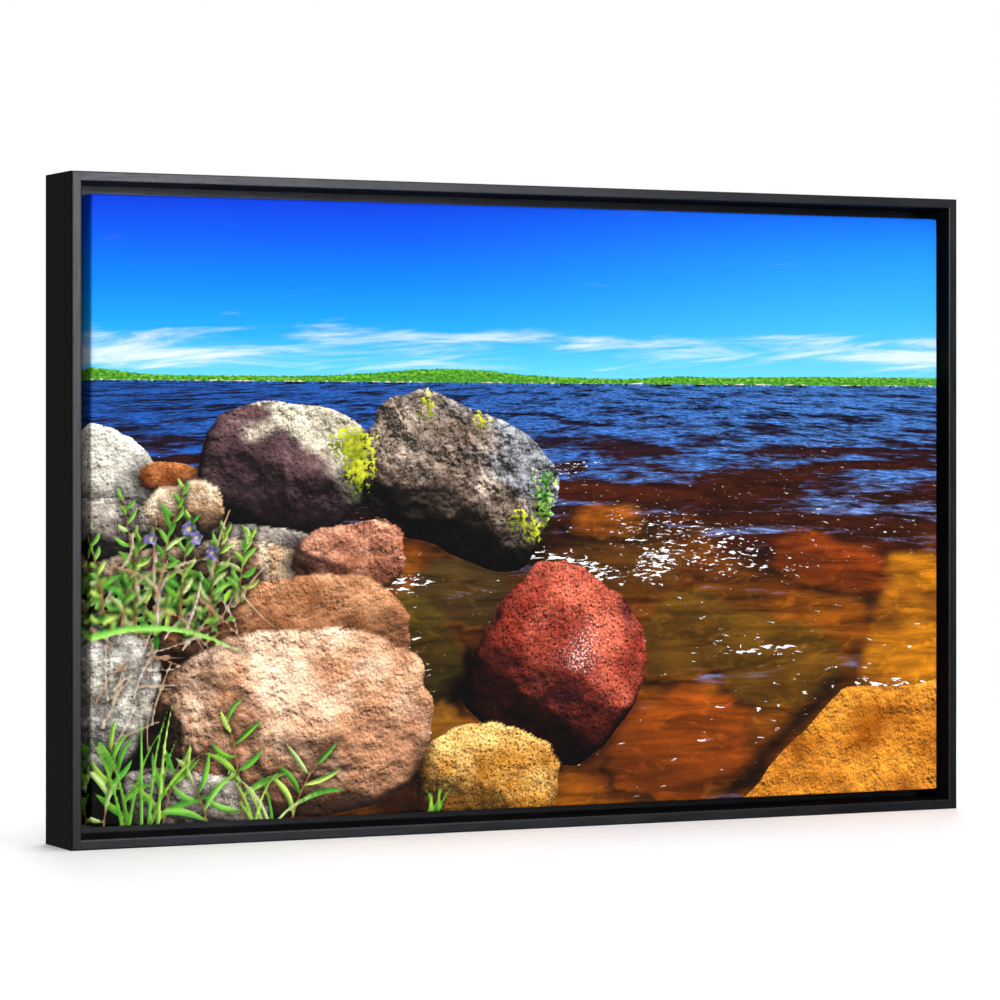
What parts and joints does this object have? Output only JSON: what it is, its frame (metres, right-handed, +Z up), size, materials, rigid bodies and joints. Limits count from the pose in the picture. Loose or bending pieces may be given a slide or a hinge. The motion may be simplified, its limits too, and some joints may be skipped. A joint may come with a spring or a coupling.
{
  "type": "framed canvas print",
  "caption": "Stretched canvas print of a rocky lake shore in a black floater frame, with swinging rings on its back for hanging.",
  "frame": {"origin": "centre of the bottom of the whole object's box, on the surface that the frame's bottom edge stands on", "axes": "+X to the right across the picture, +Y from the picture's face to the wall, +Z up"},
  "size_m": [0.584, 0.0494, 0.381],
  "materials": {
    "frame_lacquer": "satin black lacquer on wood",
    "pine": "planed, unfinished",
    "beech_key": "sawn, unfinished",
    "printed_canvas": "satin coated print on woven cotton and polyester",
    "nail_steel": "bright steel",
    "staple_steel": "galvanised wire",
    "black_steel": "black phosphate",
    "plated_steel": "bright nickel plate",
    "bumper_rubber": "matt"
  },
  "bodies": {
    "framed_canvas": {"frame_top_rail": "frame_lacquer", "frame_bottom_rail": "frame_lacquer", "frame_left_stile": "frame_lacquer", "frame_right_stile": "frame_lacquer", "frame_corner_nails": "nail_steel", "stretcher_top_bar": "pine", "stretcher_bottom_bar": "pine", "stretcher_left_bar": "pine", "stretcher_right_bar": "pine", "corner_key_1": "beech_key", "corner_key_2": "beech_key", "corner_key_3": "beech_key", "corner_key_4": "beech_key", "corner_key_5": "beech_key", "corner_key_6": "beech_key", "corner_key_7": "beech_key", "corner_key_8": "beech_key", "canvas_print": "printed_canvas", "canvas_staples": "staple_steel", "mounting_screws": "black_steel", "hanger_strap_left": "plated_steel", "hanger_strap_right": "plated_steel", "hanger_screws": "plated_steel", "wall_bumper_left": "bumper_rubber", "wall_bumper_right": "bumper_rubber"},
    "left_ring": {"d_ring_left": "plated_steel"},
    "right_ring": {"d_ring_right": "plated_steel"}
  },
  "joints": [
    {"name": "left_ring_swing", "type": "hinge", "parent": "framed_canvas", "child": "left_ring", "pos_m": [-0.278, 0.0219, 0.292], "axis": [1, 0, 0], "range_deg": [-2, 175]},
    {"name": "right_ring_swing", "type": "hinge", "parent": "framed_canvas", "child": "right_ring", "pos_m": [0.278, 0.0219, 0.292], "axis": [1, 0, 0], "range_deg": [-2, 175]}
  ]
}
